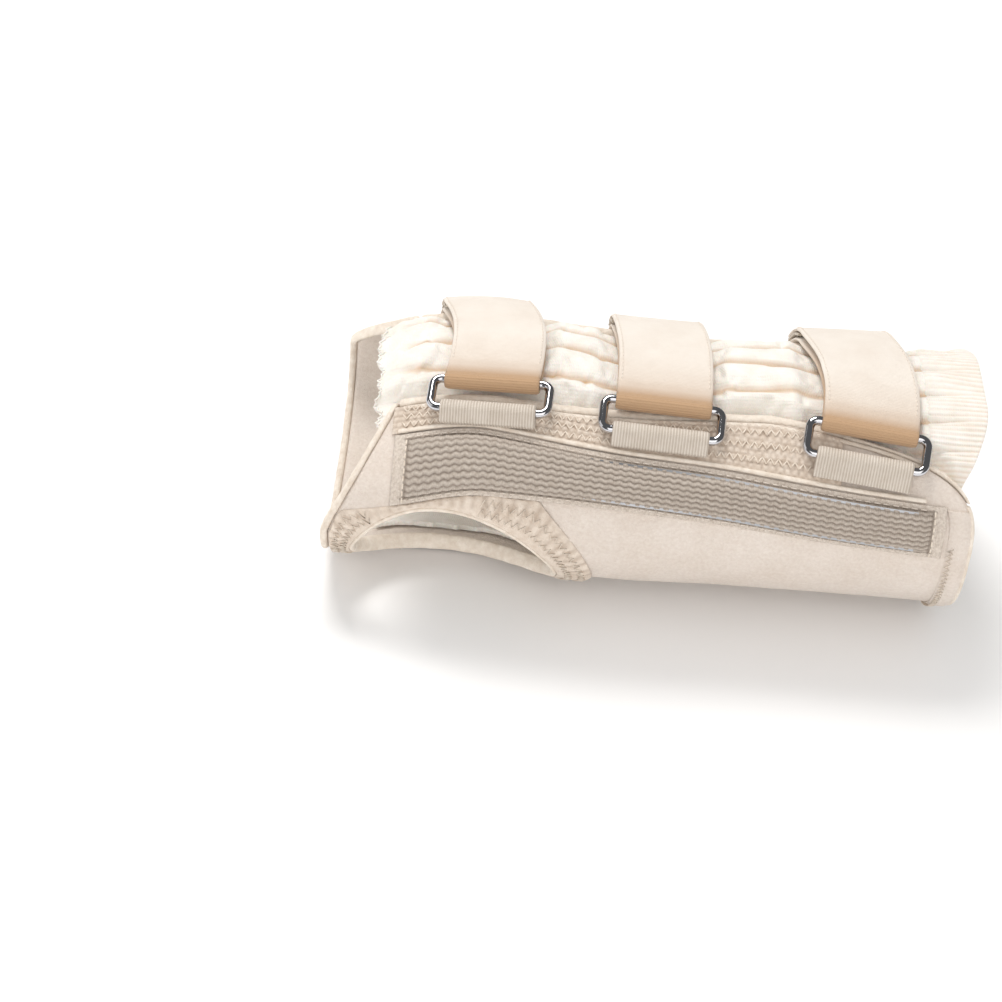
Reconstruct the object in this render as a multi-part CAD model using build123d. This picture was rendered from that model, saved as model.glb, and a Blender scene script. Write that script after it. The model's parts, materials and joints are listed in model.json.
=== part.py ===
from build123d import *
import os
from math import atan2, cos, degrees, hypot, radians, sin, tan

# Wrist splint for a right hand, in millimetres. +X runs up the forearm, +Z out of the back of the hand,
# and -Y to the thumb side. The origin lies on the flat palmar face, under the wrist crease.
# Around the limb, an angle of 0 degrees is the thumb side, 90 the back of the hand, 180 the little-finger
# side and 270 the palm. An offset is measured outwards from the felt's outer surface.

# Driving dimensions of the limb envelope
PALMAR_RISE = 3.4          # height of the felt's palmar line above the rest plane
ROUNDNESS = 2.25           # superellipse exponent of every cross-section
HAND_X, ELBOW_X = -61.5, 105.0

# Soft layers
FELT = 3.2
GAP = 0.3                  # play between layers that are sewn together only at their edges
KNIT = 1.5
FACING = 0.6
FACING_WIDTH = 9.5
BEAD = 2.4                 # width of a rolled edge
SEAT = 0.15                # lowest offset of anything sewn on the felt

# Knit liner: its hand end, the seam of its cuff, and its elbow end before the slanting trim
LINER_START, LINER_SEAM, LINER_END = -51.0, 93.0, 109.0
CUFF_TRIM = 101.0          # the trim crosses the limb's axis here
CUFF_SLOPE = -0.13         # and leans away from upright by this much
LINER_SWELL = 3.0          # how far the knit rises through the dorsal opening

# Webbing, rings and straps
WEB_WIDTH = 25.0
TAB_WEB = 0.9
STRAP_WEB = 1.2
TAB_LENGTH = 5.4           # longest run of a tab below its bar
HOOK = 0.7
WIRE = 2.4                 # ring wire diameter
RING_WIDTH = 30.6          # between the centrelines of the ring's short sides
BAR_SPACING = 9.2          # between the centrelines of the ring's long bars
RING_CORNER = 2.2
BAR_PLAY = 0.2             # between a ring's bar and the web folded round it
STRAP_OFFSET = 1.2         # underside of the strap's lower run
STRAP_SEWN, STRAP_END = 182.0, 150.0   # angles of the lower run's sewn end and of the free end's tip
HOOK_SPAN = 26.0           # degrees of the limb that the hook patch covers
SWING_ROOM = 3.4           # the lower run stops this far from the bar, so that the fold can turn
LAYER_PLAY = 0.25          # between webs that are only stitched together
RETURN_PLAY = 0.45         # between the hook tape's room and the strap's free end
SQUARE_RUN = 12.0          # degrees past the bar in which the free end stays square to it
DEGREE_RUN = 0.58          # distance round the limb covered by one degree under a strap

FOLD_TURN = 262.0, 84.0    # where the fold starts and ends round the upper bar, from the u direction

FAR = 300.0                # longer than the part, for cutting blocks

# Stays and their pockets
STAY_THICKNESS = 1.6
PALMAR_STAY_WIDTH = 20.0
PALMAR_STAY_SPAN = (-50.0, 94.0)
PALMAR_POCKET_SPAN = (-54.0, 97.0)
PALMAR_POCKET_WIDTH = 30.0
PALMAR_WEB = 0.8
STAY_PLAY = 0.15
RADIAL_STAY_SPAN = (-38.0, 90.0)
RADIAL_POCKET_SPAN = (-45.5, 97.5)
RADIAL_POCKET_WIDTHS = (18.5, 13.8)   # at the hand end, and from the wrist up
RADIAL_STAY_WIDTH = 10.0
RADIAL_COVER = 2.9

# Dorsal opening, between the felt's two long edges
THUMB_EDGE, ULNAR_EDGE = 65.0, -225.0

# Thumb hole: an elliptical cut square to the thumb side's palmar quarter
THUMB_X = -28.0
THUMB_LENGTH = 55.0
THUMB_TILT = 4.0           # its long axis climbs towards the elbow
THUMB_TOP_ANGLE, THUMB_LOW_ANGLE = 8.5, -64.0
THUMB_DEPTH = 34.0         # how far out the cut reaches
LINER_MARGIN = 4.0         # the knit's hole is this much wider all round

# Ring stations: name, place along the limb, angle of the lower bar, turn about the surface normal,
# and sideways drift of the strap in millimetres for each degree round the limb
STATIONS = (
    ("distal", -21.6, 57.5, 1.5, -0.045),
    ("middle", 22.8, 54.5, -6.0, -0.01),
    ("proximal", 75.3, 45.5, -8.0, -0.035),
)

os.makedirs("parts", exist_ok=True)


def ease(value, start, end):
    """0 before start, 1 after end, and smooth between them."""
    t = min(1.0, max(0.0, (value - start) / (end - start)))
    return t * t * (3 - 2 * t)


def half_width(x):
    return 41.4 - 3.7 * ease(x, -10, 48) + 1.3 * ease(x, 80, 118)


def half_height(x):
    return 20.0 + 7.1 * ease(x, -78, -18) + 2.2 * ease(x, -5, 110)


def side_shift(x):
    """The hand drifts to the little-finger side of the forearm's axis."""
    return 5.6 - 7.7 * ease(x, -72, 26)


def limb_point(x, angle, offset):
    c, s = cos(radians(angle)), sin(radians(angle))
    power = 2 / ROUNDNESS
    across = (abs(c) ** power) * (1 if c >= 0 else -1)
    up = (abs(s) ** power) * (1 if s >= 0 else -1)
    y = side_shift(x) - (half_width(x) + offset) * across
    z = PALMAR_RISE + half_height(x) + (half_height(x) + offset) * up
    return Vector(x, y, z)


def solid_between(top_points, bottom_points):
    """Closed solid between two grids of points with the same layout."""
    top = Face.make_surface_from_array_of_points(top_points)
    bottom = Face.make_surface_from_array_of_points(bottom_points)
    sides = []
    for edge in top.edges():
        twin = min(bottom.edges(), key=lambda e: (e @ 0.5 - edge @ 0.5).length)
        sides.append(Face.make_surface_from_curves(edge, twin))
    return Solid(Shell([top, bottom, *sides]))


def slab(place, inner, outer, rows, columns):
    """Sheet of cloth between two offsets. place(u, v), with u and v from 0 to 1, gives x and angle."""
    def grid(offset):
        spots = [[place(i / rows, j / columns) for j in range(columns + 1)] for i in range(rows + 1)]
        return [[limb_point(x, angle, offset) for x, angle in row] for row in spots]
    return solid_between(grid(outer), grid(inner))


def tube(start, end, offset_at, rows=9, columns=60):
    """Solid core of the limb between two places, with an offset that depends on the angle."""
    wires = []
    for i in range(rows + 1):
        x = start + (end - start) * i / rows
        ring = [limb_point(x, a, offset_at(a)) for a in (360 * k / columns for k in range(columns))]
        wires.append(Wire([Edge.make_spline(ring, periodic=True)]))
    return Solid.make_loft(wires)


def save(shape, name):
    solids = list(shape.solids())
    body = solids[0] if len(solids) == 1 else Compound(children=solids)
    body.label = name
    export_step(body, f"parts/{name}.step")


# ---- Outline of the felt ----

def hand_edge(angle):
    """x of the felt's hand end: a slanting corner at the dorsal edges, straight across the palm."""
    thumb_side = 15.5 * max(0.0, (angle + 5) / 70) ** 1.15
    ulnar_side = 18.0 * ease(-angle, 190, 225)
    return HAND_X + thumb_side + ulnar_side


def elbow_edge(angle):
    thumb_side = 54.0 * max(0.0, angle / 65) ** 4.2
    ulnar_side = 14.0 * ease(-angle, 195, 225)
    return ELBOW_X - thumb_side - ulnar_side


def felt_place(u, v):
    angle = THUMB_EDGE + (ULNAR_EDGE - THUMB_EDGE) * v
    start, end = hand_edge(angle), elbow_edge(angle)
    return start + (end - start) * u, angle


# ---- Thumb hole ----

def thumb_cutter(margin):
    """Elliptical prism along the thumb's direction. margin widens it all round."""
    top = limb_point(THUMB_X, THUMB_TOP_ANGLE, 0)
    low = limb_point(THUMB_X, THUMB_LOW_ANGLE, 0)
    middle = (top + low) * 0.5
    rise = top - low
    outwards = Vector(1, 0, 0).cross(rise).normalized() * -1
    if outwards.Y > 0:
        outwards = outwards * -1
    plane = Plane(origin=middle, x_dir=Vector(1, 0, 0), z_dir=outwards)
    outline = plane * Rot(0, 0, THUMB_TILT) * Ellipse(THUMB_LENGTH / 2 + margin, rise.length / 2 + margin)
    return extrude(outline, amount=THUMB_DEPTH, dir=outwards)


# ---- Ring stations ----

class Station:
    """A ring's place: local u points to the back of the hand, w outwards, and the bars run along z_dir."""

    def __init__(self, name, x, angle, turn, drift):
        self.name, self.x, self.angle, self.turn, self.drift = name, x, angle, turn, drift
        centre = limb_point(x, angle, 0)
        along = (limb_point(x + 1, angle, 0) - limb_point(x - 1, angle, 0)).normalized()
        around = (limb_point(x, angle + 1, 0) - limb_point(x, angle - 1, 0)).normalized()
        normal = along.cross(around).normalized() * -1
        if normal.Y > 0:
            normal = normal * -1
        along = along.rotate(Axis((0, 0, 0), normal), turn)
        self.plane = Plane(origin=centre, x_dir=normal.cross(along), z_dir=along)
        self.low_bar = (0.0, SEAT + FACING + LAYER_PLAY + TAB_WEB + BAR_PLAY + WIRE / 2)
        self.high_offset = STRAP_OFFSET + STRAP_WEB + BAR_PLAY + WIRE / 2
        self.high_angle = self.find_high_bar()
        self.high_bar = self.section(self.high_angle, self.high_offset)

    def section(self, angle, offset):
        """Local (u, w) of the point where the limb's surface line at this angle meets the station's plane."""
        x = self.x
        for _ in range(4):
            local = self.plane.to_local_coords(limb_point(x, angle, offset))
            x -= local.Z / self.plane.z_dir.X
        return local.X, local.Y

    def find_high_bar(self):
        low, high = self.angle + 5, self.angle + 40
        for _ in range(40):
            middle = (low + high) / 2
            u, w = self.section(middle, self.high_offset)
            if hypot(u - self.low_bar[0], w - self.low_bar[1]) < BAR_SPACING:
                low = middle
            else:
                high = middle
        return middle

    def world(self, u, w, aside):
        return self.plane.from_local_coords(Vector(u, w, aside))

    def over_limb(self, angle, offset, aside):
        """Point of a strap that follows the limb, aside from its middle line."""
        lean = tan(radians(self.turn)) / DEGREE_RUN
        x = self.x + self.drift * (angle - self.high_angle) + aside
        return limb_point(x, angle + lean * aside * (1 - ease(angle, 80, 120)), offset)

    def run(self, start, end, offset, count, square=2.0, fade=20.0):
        """Centre line of a web: square to the ring near the bar, and following the limb beyond."""
        at = offset if callable(offset) else lambda angle: offset
        angles = [start + (end - start) * i / count for i in range(count + 1)]

        def point(angle, aside):
            u, w = self.section(angle, at(angle))
            share = ease(angle, self.high_angle + square, self.high_angle + square + fade)
            flat = self.world(u, w, aside)
            return flat + (self.over_limb(angle, at(angle), aside) - flat) * share
        return [lambda aside, angle=angle: point(angle, aside) for angle in angles]

    def at(self, u, offset):
        """Local point at this u, on the limb's surface raised by the offset."""
        low, high = self.angle - 40, self.angle + 40
        for _ in range(30):
            middle = (low + high) / 2
            if self.section(middle, offset)[0] < u:
                low = middle
            else:
                high = middle
        return self.section(middle, offset)

    def straight(self, points):
        """Centre line made of local points, the same all across the web."""
        return [lambda aside, p=p: self.world(p[0], p[1], aside) for p in points]


def web(line, thickness, outwards):
    """Web of the strap's width along a centre line, which is a list of functions of the distance aside."""
    sides = [-WEB_WIDTH / 2, -WEB_WIDTH / 4, 0.0, WEB_WIDTH / 4, WEB_WIDTH / 2]
    grids = [], []
    for i, here in enumerate(line):
        before, after = line[max(i - 1, 0)], line[min(i + 1, len(line) - 1)]
        rows = [], []
        for aside in sides:
            along = after(aside) - before(aside)
            normal = along.cross(here(1.0) - here(-1.0)).normalized() * (thickness / 2 * outwards)
            rows[0].append(here(aside) + normal)
            rows[1].append(here(aside) - normal)
        grids[0].append(rows[0])
        grids[1].append(rows[1])
    return solid_between(*grids)


def arc_points(centre, radius, start, end, count):
    """Local points of an arc, with angles in degrees from the u direction towards w."""
    turns = [radians(start + (end - start) * i / count) for i in range(count + 1)]
    return [(centre[0] + radius * cos(t), centre[1] + radius * sin(t)) for t in turns]


# ---- Root pieces ----

def felt_body():
    return slab(felt_place, -FELT, 0, 16, 56) - thumb_cutter(0)


def felt_outline():
    """Block round the felt's surface, to trim what is sewn on it."""
    return slab(felt_place, -1, 3, 16, 56)


def liner_offset(angle):
    """The knit lies under the felt and swells up through the dorsal opening."""
    swell = ease(angle, THUMB_EDGE + 7, THUMB_EDGE + 22) * (1 - ease(angle, 113, 128))
    return -(FELT + GAP) + LINER_SWELL * swell


def liner(start, end):
    shell = tube(start, end, liner_offset) - tube(start - 1, end + 1, lambda a: -(FELT + GAP + KNIT))
    keep = Plane(origin=(CUFF_TRIM, 0, 0), x_dir=(0, 1, 0), z_dir=Vector(1, 0, CUFF_SLOPE))
    return split(shell, bisect_by=keep, keep=Keep.BOTTOM)


def liner_sleeve():
    return liner(LINER_START, LINER_SEAM - GAP) - thumb_cutter(LINER_MARGIN)


def liner_cuff():
    return liner(LINER_SEAM, LINER_END)


def thumb_facing():
    """Tape that faces the thumb hole's rim."""
    def place(u, v):
        return -60.0 + 70.0 * u, 22.0 - 96.0 * v
    tape = slab(place, SEAT, SEAT + FACING, 12, 20) & thumb_cutter(FACING_WIDTH)
    tape = (tape & felt_outline()) - thumb_cutter(0)
    pocket_side = Box(FAR, FAR, FAR, align=(Align.CENTER, Align.MIN, Align.MAX))
    tape = tape - Pos(0, -PALMAR_POCKET_WIDTH / 2 - GAP, 2 * PALMAR_RISE) * pocket_side

    def above_strip(u, v):
        x = -70.0 + 90.0 * u
        return x, 60.0 - (60.6 - radial_edges(x)[1]) * v
    return tape - slab(above_strip, -1, 5, 10, 10)


def radial_middle(x):
    """Angle of the radial pocket's middle line, which runs palmar towards the elbow."""
    return 32.0 + 3.6 * ease(x, -48, -22) - 20.5 * ease(x, -12, 100)


def radial_width(x):
    wide, narrow = RADIAL_POCKET_WIDTHS
    return wide + (narrow - wide) * ease(x, -46, 20)


def around(x, angle, distance):
    """Angle reached by going a distance round the felt's surface."""
    steps = 10
    for _ in range(steps):
        step = 0.5 if distance > 0 else -0.5
        rate = (limb_point(x, angle + step, 0) - limb_point(x, angle, 0)).length / 0.5
        angle += distance / steps / rate
    return angle


def radial_place(span, width_at):
    """Placing function of a strip along the radial pocket's middle line."""
    def place(u, v):
        x = span[0] + (span[1] - span[0]) * u
        return x, around(x, radial_middle(x), width_at(x) * (0.5 - v))
    return place


def radial_edges(x):
    """Angles of the pocket's dorsal and palmar edges."""
    half = radial_width(x) / 2
    return around(x, radial_middle(x), half), around(x, radial_middle(x), -half)


def radial_facing():
    """Tape along the thumb-side dorsal edge that carries the ring tabs."""
    def place(u, v):
        x = -44.0 + 112.0 * u
        low = radial_edges(x)[0] + 0.8
        return x, THUMB_EDGE - 0.5 - (THUMB_EDGE - 0.5 - low) * v
    return slab(place, SEAT, SEAT + FACING, 14, 4) & felt_outline()


def elbow_facing():
    """Tape round the felt's elbow end, from the thumb-side pocket to the little-finger side."""
    def place(u, v):
        angle = -7.0 - 205.0 * v
        return elbow_edge(angle) - 5.6 + 5.4 * u, angle
    return slab(place, SEAT, SEAT + FACING, 3, 36)


def edge_bead(edge, side, start, end, columns):
    """Rolled binding along one of the felt's ends. side is -1 at the hand end and 1 at the elbow end."""
    def place(u, v):
        angle = start + (end - start) * v
        return edge(angle) + side * (0.4 + BEAD * u), angle
    return slab(place, -FELT, 0.6, 2, columns)


def long_bead(angle, side, start, end):
    """Rolled binding along one of the felt's dorsal edges."""
    def place(u, v):
        return start + (end - start) * v, angle + side * (0.5 + 4.1 * u)
    return slab(place, -FELT, 0.6, 2, 16)


def radial_binding():
    """Binding along the thumb-side dorsal edge and down the slanting corner at the elbow end."""
    corner = edge_bead(elbow_edge, 1, THUMB_EDGE + 3, 32, 20)
    return long_bead(THUMB_EDGE, 1, hand_edge(THUMB_EDGE) + 1, elbow_edge(THUMB_EDGE) + 1.5) + corner


def radial_pocket():
    cover = slab(radial_place(RADIAL_POCKET_SPAN, radial_width), SEAT, RADIAL_COVER, 16, 6)
    return cover - radial_stay(STAY_PLAY)


def radial_stay(play):
    """The radial stay, or the room for it when play is above 0."""
    middle = (SEAT + RADIAL_COVER) / 2
    half = STAY_THICKNESS / 2 - STAY_PLAY + play / 2
    span = (RADIAL_STAY_SPAN[0] - play, RADIAL_STAY_SPAN[1] + play)
    place = radial_place(span, lambda x: RADIAL_STAY_WIDTH + 2 * play)
    return slab(place, middle - half, middle + half, 16, 4)


def palmar_pocket():
    start, end = PALMAR_POCKET_SPAN
    block = Box(end - start, PALMAR_POCKET_WIDTH, 9, align=(Align.MIN, Align.CENTER, Align.MIN))
    block = Pos(start, 0, 0) * block
    block = block - tube(start - 5, end + 5, lambda a: SEAT)
    room = PALMAR_STAY_WIDTH + 2 * STAY_PLAY
    mouth = Box(end - start, room, STAY_THICKNESS + STAY_PLAY, align=(Align.MIN, Align.CENTER, Align.MIN))
    return block - Pos(PALMAR_STAY_SPAN[0] - STAY_PLAY, 0, PALMAR_WEB) * mouth


def palmar_stay():
    start, end = PALMAR_STAY_SPAN
    outline = RectangleRounded(end - start, PALMAR_STAY_WIDTH, PALMAR_STAY_WIDTH / 2 - 0.5)
    return Pos((start + end) / 2, 0, PALMAR_WEB + STAY_PLAY / 2) * extrude(outline, amount=STAY_THICKNESS)


# ---- Pieces at each ring ----

def ring_tab(station):
    """Short web folded round the ring's lower bar, with both ends sewn just above the thumb-side pocket."""
    radius = WIRE / 2 + BAR_PLAY + TAB_WEB / 2
    low = station.low_bar
    hem = max(radial_edges(station.x - WEB_WIDTH / 2)[0], radial_edges(station.x + WEB_WIDTH / 2)[0])
    end = max(-TAB_LENGTH, station.section(hem + 1.0, SEAT)[0])
    under = low[1] - radius
    inner = [station.at(u, under) for u in (end, end * 0.7, end * 0.35)]
    outer = station.at(end, under + TAB_WEB + 0.2)
    wrap = 90 + degrees(atan2(2.3, -end - 1.2))
    loop = arc_points(low, radius, -90, wrap, 14)
    half_way = (loop[-1][0] + outer[0]) / 2, (loop[-1][1] + outer[1]) / 2 - 0.1
    line = inner + loop + [half_way, outer]
    left, right = [], []
    for i, (u, w) in enumerate(line):
        before, after = line[max(i - 1, 0)], line[min(i + 1, len(line) - 1)]
        length = hypot(after[0] - before[0], after[1] - before[1])
        across = (after[0] - before[0]) / length * TAB_WEB / 2, (after[1] - before[1]) / length * TAB_WEB / 2
        left.append(Vector(u - across[1], w + across[0]))
        right.insert(0, Vector(u + across[1], w - across[0]))
    profile = Wire([
        Edge.make_spline(left), Edge.make_line(left[-1], right[0]),
        Edge.make_spline(right), Edge.make_line(right[-1], left[0]),
    ])
    return extrude(station.plane * Face(profile), amount=WEB_WIDTH / 2, dir=station.plane.z_dir, both=True)


def ring(station):
    low, high = Vector(*station.low_bar), Vector(*station.high_bar)
    middle = station.plane.from_local_coords((low + high) * 0.5)
    across = station.plane.from_local_coords(high) - station.plane.from_local_coords(low)
    along = station.plane.z_dir
    plane = Plane(origin=middle, x_dir=along, z_dir=along.cross(across.normalized()))
    path = (plane * RectangleRounded(RING_WIDTH, BAR_SPACING, RING_CORNER)).face().outer_wire()
    start = path @ 0
    return sweep(Plane(origin=start, z_dir=path % 0) * Circle(WIRE / 2), path=path)


def strap_offset(angle):
    """Underside of the strap's lower run: on the felt where it is sewn, then over the binding."""
    return STRAP_OFFSET - 0.5 * ease(angle, 142, 156)


def strap_base(station):
    """The strap's lower run, sewn to the little-finger side and ending just short of the ring."""
    stop = station.high_angle
    while station.section(stop, STRAP_OFFSET)[0] < station.high_bar[0] + SWING_ROOM:
        stop += 0.25
    return web(station.run(STRAP_SEWN, stop, lambda a: strap_offset(a) + STRAP_WEB / 2, 26), STRAP_WEB, 1)


def strap_end(station):
    """The strap's free end: the fold round the ring's upper bar, then the run back over the lower one."""
    radius = WIRE / 2 + BAR_PLAY + STRAP_WEB / 2
    height = STRAP_OFFSET + STRAP_WEB + HOOK + RETURN_PLAY + STRAP_WEB / 2
    fold = station.straight(arc_points(station.high_bar, radius, *FOLD_TURN, 14))
    over = station.run(station.high_angle + SQUARE_RUN, STRAP_END, height, 16, SQUARE_RUN)
    return web(fold + over, STRAP_WEB, 1)


def hook_patch(station):
    """Hook tape sewn under the tip of the strap's free end."""
    height = STRAP_OFFSET + STRAP_WEB + LAYER_PLAY + HOOK / 2
    return web(station.run(STRAP_END - HOOK_SPAN, STRAP_END - 1, height, 8), HOOK, 1)


save(felt_body(), "felt_body")
save(liner_sleeve(), "liner_sleeve")
save(liner_cuff(), "liner_cuff")
save(thumb_facing(), "thumb_hole_facing")
save(radial_facing(), "radial_edge_facing")
save(elbow_facing(), "elbow_edge_facing")
save(edge_bead(hand_edge, -1, 60, -218, 64), "hand_edge_binding")
save(radial_binding(), "radial_edge_binding")
save(long_bead(ULNAR_EDGE, -1, hand_edge(ULNAR_EDGE) + 1, elbow_edge(ULNAR_EDGE) - 1), "ulnar_edge_binding")
save(radial_pocket(), "radial_stay_pocket")
save(radial_stay(0), "radial_stay")
save(palmar_pocket(), "palmar_stay_pocket")
save(palmar_stay(), "palmar_stay")
for name, *figures in STATIONS:
    place = Station(name, *figures)
    save(ring_tab(place), f"{name}_ring_tab")
    save(ring(place), f"{name}_ring")
    save(strap_base(place), f"{name}_strap_base")
    save(strap_end(place), f"{name}_strap_end")
    save(hook_patch(place), f"{name}_hook_patch")
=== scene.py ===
import json
import math

import bmesh
import bpy
import numpy as np
from mathutils import Matrix, Vector, noise


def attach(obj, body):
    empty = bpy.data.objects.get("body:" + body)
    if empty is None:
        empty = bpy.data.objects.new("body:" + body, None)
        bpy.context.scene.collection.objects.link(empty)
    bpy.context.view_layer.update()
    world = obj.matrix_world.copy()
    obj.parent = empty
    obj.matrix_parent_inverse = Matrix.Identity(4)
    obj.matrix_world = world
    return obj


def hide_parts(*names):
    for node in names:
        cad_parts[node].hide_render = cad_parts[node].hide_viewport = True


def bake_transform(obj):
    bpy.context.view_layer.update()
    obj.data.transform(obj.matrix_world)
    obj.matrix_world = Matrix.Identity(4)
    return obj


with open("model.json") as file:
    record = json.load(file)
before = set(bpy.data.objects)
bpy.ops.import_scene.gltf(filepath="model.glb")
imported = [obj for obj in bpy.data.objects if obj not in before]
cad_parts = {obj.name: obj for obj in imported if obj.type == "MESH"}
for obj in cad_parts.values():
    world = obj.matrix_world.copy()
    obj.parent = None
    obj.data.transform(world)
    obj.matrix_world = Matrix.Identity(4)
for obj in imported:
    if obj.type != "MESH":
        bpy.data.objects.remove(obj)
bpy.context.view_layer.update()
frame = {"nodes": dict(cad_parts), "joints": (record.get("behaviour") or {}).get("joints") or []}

# Lengths in this script are millimetres until a mesh is made. The limb's envelope is the CAD part's:
# x runs up the forearm, an angle goes round the limb (0 thumb side, 90 back of the hand, 180 little-finger
# side, 270 palm), and an offset is measured outwards from the felt's outer surface.
PALMAR_RISE, ROUNDNESS = 3.4, 2.25
FELT = 3.2
THUMB_EDGE, ULNAR_EDGE = 65.0, -225.0
HAND_X, ELBOW_X = -61.5, 105.0
WEB_WIDTH, STRAP_WEB, TAB_WEB, WIRE, BAR_PLAY = 25.0, 1.2, 0.9, 2.4, 0.2
STRAP_SEWN, STRAP_END = 182.0, 150.0   # angles of a strap's sewn end and of its free tip
STRAP_LIFT, STRAP_SINK = 1.2, 0.5      # height of the lower run, and how far it drops to its sewn end
HOOK, LAYER_PLAY = 0.7, 0.45           # hook patch, and the room left between a strap's two layers
LINER_START, CUFF_START, LINER_END = -51.0, 92.0, 108.0
KNIT, CUFF_KNIT = 1.3, 1.2             # thickness of the liner and of its cuff
POCKET_SPAN = (-45.5, 97.5)
POCKET_COVER = 2.9
WEAVE_ROWS = 11
SHEET_TRAVEL, SHEET_FRAMES = 1.2, 18   # cloth simulation: furthest that a point may move, and its length
PANEL_ROW = 60                         # row of the sleeve's grid whose angles choose the simulated columns
STAY_POCKET = (-54.0, 97.0, 15.0)      # palmar pocket: hand end, elbow end and half width
THUMB_X, THUMB_LENGTH, THUMB_TILT = -28.0, 55.0, 4.0
THUMB_TOP, THUMB_LOW = 8.5, -64.0
HEM, THREAD = 9.5, 0.2
THREAD_SIDES, ROLL_SIDES, RIM_SIDES = 6, 14, 16
LIMB_MIDDLE = (0, 0, 30.0)
LIMB_RADIUS, DEGREE_RUN = 34.0, 0.58   # the limb's mean radius, and about one degree's length
QUILT = (1.9, 1.7)                     # size of the quilted tape's cells, along and across
PLEAT_START, PLEAT_PITCH = 83, 14.4    # angle of one crease in the knit, and the step to the next
SHEATH = 0.35                          # gap between the felt and the knit under it
DRIFT = {"distal": -0.045, "middle": -0.01, "proximal": -0.035}     # a strap's lean, in mm along x per degree


# ---- The limb's surface ----

def ease(value, start, end):
    t = np.clip((np.asarray(value, float) - start) / (end - start), 0, 1)
    return t * t * (3 - 2 * t)


def half_width(x):
    return 41.4 - 3.7 * ease(x, -10, 48) + 1.3 * ease(x, 80, 118)


def half_height(x):
    return 20.0 + 7.1 * ease(x, -78, -18) + 2.2 * ease(x, -5, 110)


def side_shift(x):
    return 5.6 - 7.7 * ease(x, -72, 26)


def limb(x, angle, offset=0.0):
    """Points on the limb's surface, as an array with the inputs' shape and one more axis."""
    x, angle, offset = np.broadcast_arrays(*(np.asarray(v, float) for v in (x, angle, offset)))
    c, s = np.cos(np.radians(angle)), np.sin(np.radians(angle))
    across = np.sign(c) * np.abs(c) ** (2 / ROUNDNESS)
    up = np.sign(s) * np.abs(s) ** (2 / ROUNDNESS)
    y = side_shift(x) - (half_width(x) + offset) * across
    z = PALMAR_RISE + half_height(x) + (half_height(x) + offset) * up
    return np.stack([x, y, z], -1)


def hand_edge(angle):
    thumb_side = 15.5 * np.clip((angle + 5) / 70, 0, None) ** 1.15
    return HAND_X + thumb_side + 18.0 * ease(-angle, 190, 225)


def elbow_edge(angle):
    thumb_side = 54.0 * np.clip(angle / 65, 0, None) ** 4.2
    return ELBOW_X - thumb_side - 14.0 * ease(-angle, 195, 225)


def felt_top(x):
    """Angle of the felt's thumb-side dorsal edge at x, which falls away to the elbow corner."""
    return np.minimum(THUMB_EDGE, 65 * (np.clip(ELBOW_X - x, 0.5, 54) / 54) ** (1 / 4.2))


def around(x, angle, distance):
    """Angle reached by going a distance round the surface."""
    angle = np.asarray(angle, float) + 0 * np.asarray(x, float)
    for _ in range(10):
        rate = np.linalg.norm(limb(x, angle + 0.5) - limb(x, angle - 0.5), axis=-1)
        angle = angle + distance / 10 / rate
    return angle


def pocket_middle(x):
    return 32.0 + 3.6 * ease(x, -48, -22) - 20.5 * ease(x, -12, 100)


def pocket_width(x):
    return 18.5 - 4.7 * ease(x, -46, 20)


def beside_strip(x, sign, distance):
    """Angle at a distance outside the woven strip's edge, on its dorsal (1) or palmar (-1) side."""
    return around(x, pocket_middle(x), sign * (pocket_width(x) / 2 + distance))


def ripple(points, scale, seed=0.0):
    """Smooth noise from -1 to 1 at each point; scale is the size of its lumps in millimetres."""
    flat = np.asarray(points, float).reshape(-1, 3) / scale + seed
    values = [noise.noise(Vector(p)) for p in flat]
    return np.array(values).reshape(np.shape(points)[:-1])


# ---- Mesh making ----

def make(name, vertices, faces, uv=None, levels=1, shade=None, seam=0.0):
    """Mesh object from points in millimetres. shade is painted shade: it darkens a cloth's colour, point by
    point, from 0 to 1.
    """
    mesh = bpy.data.meshes.new(name)
    mesh.from_pydata((np.asarray(vertices) / 1000).tolist(), [], faces)
    mesh.validate()
    work = bmesh.new()
    work.from_mesh(mesh)
    bmesh.ops.recalc_face_normals(work, faces=work.faces)
    work.to_mesh(mesh)
    work.free()
    if shade is not None:
        shade_amount = mesh.attributes.new("shade", "FLOAT", "POINT")
        shade_amount.data.foreach_set("value", np.asarray(shade, np.float32).ravel())
    if uv is not None:
        layer = mesh.uv_layers.new(name="weave")
        corners = np.zeros(len(mesh.loops), int)
        mesh.loops.foreach_get("vertex_index", corners)
        spread = np.asarray(uv, np.float32)[corners].reshape(-1, 4, 2)
        lowest, whole = spread[:, :, 1].min(1)[:, None], spread[:, :, 1].max() + seam
        torn = (spread[:, :, 1].max(1)[:, None] - lowest > whole / 2) & (spread[:, :, 1] < whole / 2)
        spread[:, :, 1] += np.where(torn, whole, 0)
        layer.data.foreach_set("uv", spread.ravel())
    mesh.shade_smooth()
    obj = bpy.data.objects.new(name, mesh)
    bpy.context.scene.collection.objects.link(obj)
    if levels:
        soften = obj.modifiers.new("soften", "SUBSURF")
        soften.levels = soften.render_levels = levels
    return obj


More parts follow.
